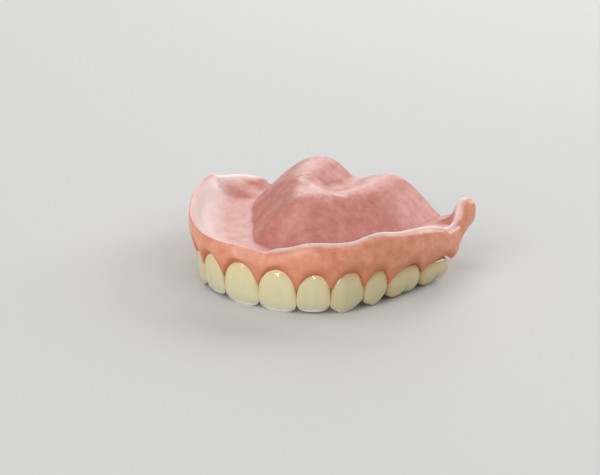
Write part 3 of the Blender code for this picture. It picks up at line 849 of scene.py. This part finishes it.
def baseMaterial():
    material, tree, shader, place = newMaterial("heatCuredDentureAcrylic")
    colourMix = {"data_type": "RGBA"}

    def cells(size):
        return 1.0 / (size * mm)

    mottle = addNode(tree, "ShaderNodeTexNoise", values={
        "Scale": cells(baseFinish["mottleSize"]), "Detail": 4.0, "Roughness": 0.6},
        links={"Vector": place})
    low, high = baseFinish["mottleRange"]
    mottled = addNode(tree, "ShaderNodeMapRange", values={"From Min": low, "From Max": high},
                      links={"Value": mottle.outputs["Fac"]}).outputs["Result"]
    shares = {name: addNode(tree, "ShaderNodeAttribute", {"attribute_name": name}).outputs["Fac"]
              for name in ("fitting", "margin", "thin", "red")}
    polished = addNode(tree, "ShaderNodeMix", colourMix, {
        "A": linearColour(baseFinish["polished"]), "B": linearColour(baseFinish["polishedDeep"])},
        {"Factor": mottled})
    inner = addNode(tree, "ShaderNodeMix", colourMix, {
        "A": linearColour(baseFinish["fitting"]), "B": linearColour(baseFinish["fittingDeep"])},
        {"Factor": mottled})
    colour = addNode(tree, "ShaderNodeMix", colourMix, links={
        "Factor": shares["fitting"], "A": polished.outputs["Result"],
        "B": inner.outputs["Result"]}).outputs["Result"]

    # Warm at the gum margin, pale with painted sheen where light from behind would glint on the rim,
    # its bank and the crest, and darker red with painted shade in the hollow on the crest
    for name in ("margin", "thin", "red"):
        step = addNode(tree, "ShaderNodeMapRange", values={
            "From Min": baseFinish[name + "Start"], "To Max": baseFinish[name + "Share"]},
            links={"Value": shares[name]})
        colour = addNode(tree, "ShaderNodeMix", colourMix, {"B": linearColour(baseFinish[name])}, {
            "Factor": step.outputs["Result"], "A": colour}).outputs["Result"]

    # Fibres: the thin bands where a stretched noise crosses its middle, broken up by another
    stretch = addNode(tree, "ShaderNodeMapping", values={
        "Rotation": baseFinish["fibreTurn"], "Scale": baseFinish["fibreStretch"]},
        links={"Vector": place})
    field = addNode(tree, "ShaderNodeTexNoise", values={
        "Scale": cells(baseFinish["fibreSpacing"]), "Detail": 2.0, "Distortion": 0.6},
        links={"Vector": stretch.outputs["Vector"]})
    off = addNode(tree, "ShaderNodeMath", {"operation": "SUBTRACT"}, {1: 0.5}, {
        0: field.outputs["Fac"]})
    size = addNode(tree, "ShaderNodeMath", {"operation": "ABSOLUTE"}, links={0: off.outputs[0]})
    line = addNode(tree, "ShaderNodeMapRange", values={
        "From Max": baseFinish["fibreWidth"], "To Min": 1.0, "To Max": 0.0},
        links={"Value": size.outputs[0]})
    patches = addNode(tree, "ShaderNodeTexNoise", values={
        "Scale": cells(baseFinish["patchSize"]), "Detail": 1.0}, links={"Vector": place})
    low, high = baseFinish["patchRange"]
    patchStep = addNode(tree, "ShaderNodeMapRange", values={
        "From Min": low, "From Max": high, "To Max": baseFinish["fibreShare"]},
        links={"Value": patches.outputs["Fac"]})
    fibreMask = addNode(tree, "ShaderNodeMath", {"operation": "MULTIPLY"}, links={
        0: line.outputs["Result"], 1: patchStep.outputs["Result"]})
    coloured = addNode(tree, "ShaderNodeMix", colourMix, {
        "B": linearColour(baseFinish["fibre"])}, {"Factor": fibreMask.outputs[0], "A": colour})
    tree.links.new(coloured.outputs["Result"], shader.inputs["Base Color"])

    # Streaks and grain of the cast surface on the fitting side, a faint waviness outside
    streakPlace = addNode(tree, "ShaderNodeMapping", values={
        "Rotation": baseFinish["grainTurn"], "Scale": baseFinish["grainStretch"]},
        links={"Vector": place})
    streaks = addNode(tree, "ShaderNodeTexNoise", values={
        "Scale": cells(baseFinish["grainSize"]), "Detail": 3.0, "Roughness": 0.65},
        links={"Vector": streakPlace.outputs["Vector"]})
    waves = addNode(tree, "ShaderNodeTexNoise", values={
        "Scale": cells(baseFinish["waveSize"]), "Detail": 1.0}, links={"Vector": place})
    surface = addNode(tree, "ShaderNodeMix", {"data_type": "FLOAT"}, links={
        "Factor": shares["fitting"], "A": waves.outputs["Fac"], "B": streaks.outputs["Fac"]})
    bump = addNode(tree, "ShaderNodeBump", values={
        "Strength": 1.0, "Distance": baseFinish["bumpHeight"] * mm},
        links={"Height": surface.outputs["Result"]})
    tree.links.new(bump.outputs["Normal"], shader.inputs["Normal"])
    rough = addNode(tree, "ShaderNodeMapRange", values={
        "To Min": baseFinish["roughness"], "To Max": baseFinish["fittingRoughness"]},
        links={"Value": shares["fitting"]})
    roughVaried = addNode(tree, "ShaderNodeMath", {"operation": "MULTIPLY_ADD"}, {
        1: baseFinish["roughnessSpread"]}, {0: mottle.outputs["Fac"], 2: rough.outputs["Result"]})
    tree.links.new(roughVaried.outputs[0], shader.inputs["Roughness"])
    shader.inputs["IOR"].default_value = baseFinish["ior"]
    shader.inputs["Subsurface Weight"].default_value = baseFinish["scatter"]
    shader.inputs["Subsurface Radius"].default_value = baseFinish["scatterRadius"]
    shader.inputs["Subsurface Scale"].default_value = mm
    coat = addNode(tree, "ShaderNodeMapRange", values={
        "To Min": baseFinish["coat"], "To Max": baseFinish["fittingCoat"]},
        links={"Value": shares["fitting"]})
    tree.links.new(coat.outputs["Result"], shader.inputs["Coat Weight"])
    shader.inputs["Coat Roughness"].default_value = baseFinish["coatRoughness"]
    return material


# Layered acrylic tooth: ivory body, warm at the neck, greyer and clearer at the biting edge,
# with a glassy polish
toothFinish = {
    # Share of the crown's height and colour, from a painted highlight along the very edge up to the
    # neck
    "layers": [(0.085, "#F4F1E2"), (0.125, "#D5D2B8"), (0.34, "#E2DAB0"), (0.78, "#E6DAAC"),
               (1.0, "#EFD3A0")],
    "contact": "#D9A55C",     # painted shade between the teeth, where they touch
    "paintedContactShadeShare": 0.7,
    "paintedContactShadeRange": (0.72, 1.05),   # from the middle of a tooth, in halves of its width
    "paintedContactShadeDepth": (0.15, 0.7),    # share of the height over which it comes in
    # Darker, browner colour towards the back teeth: partly their own tone, partly painted shade
    "cool": "#B49E74",
    "mottleSize": 2.2,        # millimetres
    "mottleShift": 0.12,      # how far it moves the layers
    "roughness": 0.1,
    "roughnessSpread": 0.1,
    "ior": 1.49,
    "coat": 0.5,
    "coatRoughness": 0.03,
    "bumpHeight": 0.02,       # millimetres
    "scatter": 0.2,
    "scatterRadius": (0.9, 0.7, 0.45),
}


def toothMaterial(grey):
    material, tree, shader, place = newMaterial("layeredToothAcrylic")
    neck = addNode(tree, "ShaderNodeAttribute", {"attribute_name": "neckShare"})
    beside = addNode(tree, "ShaderNodeAttribute", {"attribute_name": "sideShare"})
    mottle = addNode(tree, "ShaderNodeTexNoise", values={
        "Scale": 1.0 / (toothFinish["mottleSize"] * mm), "Detail": 3.0}, links={"Vector": place})
    shifted = addNode(tree, "ShaderNodeMath", {"operation": "MULTIPLY_ADD"}, {
        1: toothFinish["mottleShift"]}, {0: mottle.outputs["Fac"], 2: neck.outputs["Fac"]})
    ramp = addNode(tree, "ShaderNodeValToRGB", links={"Fac": shifted.outputs[0]})
    stops = ramp.color_ramp.elements
    stops.remove(stops[1])
    stops[0].position = toothFinish["layers"][0][0]
    for index, (position, colour) in enumerate(toothFinish["layers"]):
        stop = stops.new(position) if index else stops[0]
        stop.color = linearColour(colour)
    colourMix = {"data_type": "RGBA"}
    # Darker and browner towards the back: partly the own tone of back teeth, partly painted shade
    tonedAndPaintedShaded = addNode(tree, "ShaderNodeMix", colourMix, {
        "Factor": grey, "B": linearColour(toothFinish["cool"])}, {"A": ramp.outputs["Color"]})
    # Painted shade at the sides of each crown near its neck, where the teeth touch
    low, high = toothFinish["paintedContactShadeRange"]
    besideStep = addNode(tree, "ShaderNodeMapRange", values={
        "From Min": low, "From Max": high, "To Max": toothFinish["paintedContactShadeShare"]},
        links={"Value": beside.outputs["Fac"]})
    low, high = toothFinish["paintedContactShadeDepth"]
    deep = addNode(tree, "ShaderNodeMapRange", values={"From Min": low, "From Max": high},
                   links={"Value": neck.outputs["Fac"]})
    besideMask = addNode(tree, "ShaderNodeMath", {"operation": "MULTIPLY"}, links={
        0: besideStep.outputs["Result"], 1: deep.outputs["Result"]})
    coloured = addNode(tree, "ShaderNodeMix", colourMix, {
        "B": linearColour(toothFinish["contact"])},
        {"Factor": besideMask.outputs[0], "A": tonedAndPaintedShaded.outputs["Result"]})
    tree.links.new(coloured.outputs["Result"], shader.inputs["Base Color"])
    bump = addNode(tree, "ShaderNodeBump", values={
        "Strength": 1.0, "Distance": toothFinish["bumpHeight"] * mm},
        links={"Height": mottle.outputs["Fac"]})
    tree.links.new(bump.outputs["Normal"], shader.inputs["Normal"])
    rough = addNode(tree, "ShaderNodeMath", {"operation": "MULTIPLY_ADD"}, {
        1: toothFinish["roughnessSpread"], 2: toothFinish["roughness"]},
        {0: mottle.outputs["Fac"]})
    tree.links.new(rough.outputs[0], shader.inputs["Roughness"])
    shader.inputs["IOR"].default_value = toothFinish["ior"]
    shader.inputs["Coat Weight"].default_value = toothFinish["coat"]
    shader.inputs["Coat Roughness"].default_value = toothFinish["coatRoughness"]
    shader.inputs["Subsurface Weight"].default_value = toothFinish["scatter"]
    shader.inputs["Subsurface Radius"].default_value = toothFinish["scatterRadius"]
    shader.inputs["Subsurface Scale"].default_value = mm
    return material


# Plain pale matt floor, its size in metres and its grain in cells to the metre
floor = {"size": 6.0, "colour": "#D9D8D5", "grain": 900.0, "roughness": 0.75,
         "roughnessSpread": 0.05}


def makeFloor():
    bm = bmesh.new()
    bmesh.ops.create_grid(bm, x_segments=1, y_segments=1, size=floor["size"] / 2.0)
    mesh = bpy.data.meshes.new("floor")
    bm.to_mesh(mesh)
    bm.free()
    piece = addObject("floor", mesh)
    material, tree, shader, place = newMaterial("paleMattFloor")
    grain = addNode(tree, "ShaderNodeTexNoise", values={"Scale": floor["grain"], "Detail": 2.0},
                    links={"Vector": place})
    rough = addNode(tree, "ShaderNodeMapRange", values={
        "To Min": floor["roughness"] - floor["roughnessSpread"],
        "To Max": floor["roughness"] + floor["roughnessSpread"]},
        links={"Value": grain.outputs["Fac"]})
    tree.links.new(rough.outputs["Result"], shader.inputs["Roughness"])
    shader.inputs["Base Color"].default_value = linearColour(floor["colour"])
    mesh.materials.append(material)


# Lamps are soft boxes: direction they come from (azimuth from straight behind the object as the
# camera sees it, elevation), distance and size in metres, and power in watts
lamps = {
    "behind": {"azimuth": 6.0, "elevation": 26.0, "distance": 0.9, "size": 0.7, "power": 3.3},
    "window": {"azimuth": 58.0, "elevation": 24.0, "distance": 0.9, "size": 0.5, "power": 3.0},
    "above": {"azimuth": -60.0, "elevation": 68.0, "distance": 0.9, "size": 0.45, "power": 1.2},
    "front": {"azimuth": 222.0, "elevation": 34.0, "distance": 1.0, "size": 0.7, "power": 4.0},
    # Three small ones low in front, whose glints show at the necks of the front teeth
    "sparkLeft": {"azimuth": 186.0, "elevation": 6.0, "distance": 0.9, "size": 0.12, "power": 0.45},
    "spark": {"azimuth": 222.0, "elevation": 6.0, "distance": 0.9, "size": 0.12, "power": 0.45},
    "sparkRight": {"azimuth": 242.0, "elevation": 6.0, "distance": 0.9, "size": 0.12, "power": 0.45},
    "side": {"azimuth": 125.0, "elevation": 42.0, "distance": 0.9, "size": 0.6, "power": 1.3},
}
worldLight = {"colour": "#E9EDF2", "strength": 0.28}

camera = {
    "aim": (0.5, 17.5, 10.0),     # millimetres from the front contact
    "turn": 27.8,                 # degrees from straight ahead, to the wearer's left
    "elevation": 21.6,
    "distance": 0.4,              # metres
    "lens": 108.84,               # millimetres, as the sensor
    "sensorWidth": 36.0,
    "clipStart": 0.01,
}


# Turns are counted from the Y axis towards -X
def direction(turn, elevation):
    return Vector((-math.sin(turn) * math.cos(elevation), math.cos(turn) * math.cos(elevation),
                   math.sin(elevation)))


def makeCamera():
    data = bpy.data.cameras.new("camera")
    data.sensor_width = camera["sensorWidth"]
    data.lens = camera["lens"]
    data.clip_start = camera["clipStart"]
    eye = addObject("camera", data)
    forward = direction(math.radians(camera["turn"]), -math.radians(camera["elevation"]))
    eye.location = frontContact + Vector(camera["aim"]) * mm - forward * camera["distance"]
    eye.rotation_euler = forward.to_track_quat("-Z", "Y").to_euler()
    bpy.context.scene.camera = eye


def makeLights():
    middle = (cadBox[0] + cadBox[1]) / 2.0
    straight = math.radians(camera["turn"])
    for name, lamp in lamps.items():
        azimuth = straight - math.radians(lamp["azimuth"])
        toward = direction(azimuth, math.radians(lamp["elevation"]))
        data = bpy.data.lights.new(name, "AREA")
        data.size = lamp["size"]
        data.energy = lamp["power"]
        light = addObject(name, data)
        light.location = middle + toward * lamp["distance"]
        light.rotation_euler = (-toward).to_track_quat("-Z", "Y").to_euler()
    world = bpy.data.worlds.new("studio")
    world.use_nodes = True
    background = world.node_tree.nodes["Background"]
    background.inputs["Color"].default_value = linearColour(worldLight["colour"])
    background.inputs["Strength"].default_value = worldLight["strength"]
    bpy.context.scene.world = world


makeCamera()
makeLights()
makeFloor()
print("studio: camera, lights and floor")
makeBase(baseMaterial())
for tooth, start in zip(teeth, toothStarts):
    shade = toothMaterial(tooth["grey"])
    for side, word in ((1.0, "left"), (-1.0, "right")):
        makeTooth(tooth, start, side, word, shade)
    print("teeth:", tooth["name"])
bpy.context.scene.view_settings.view_transform = "Standard"
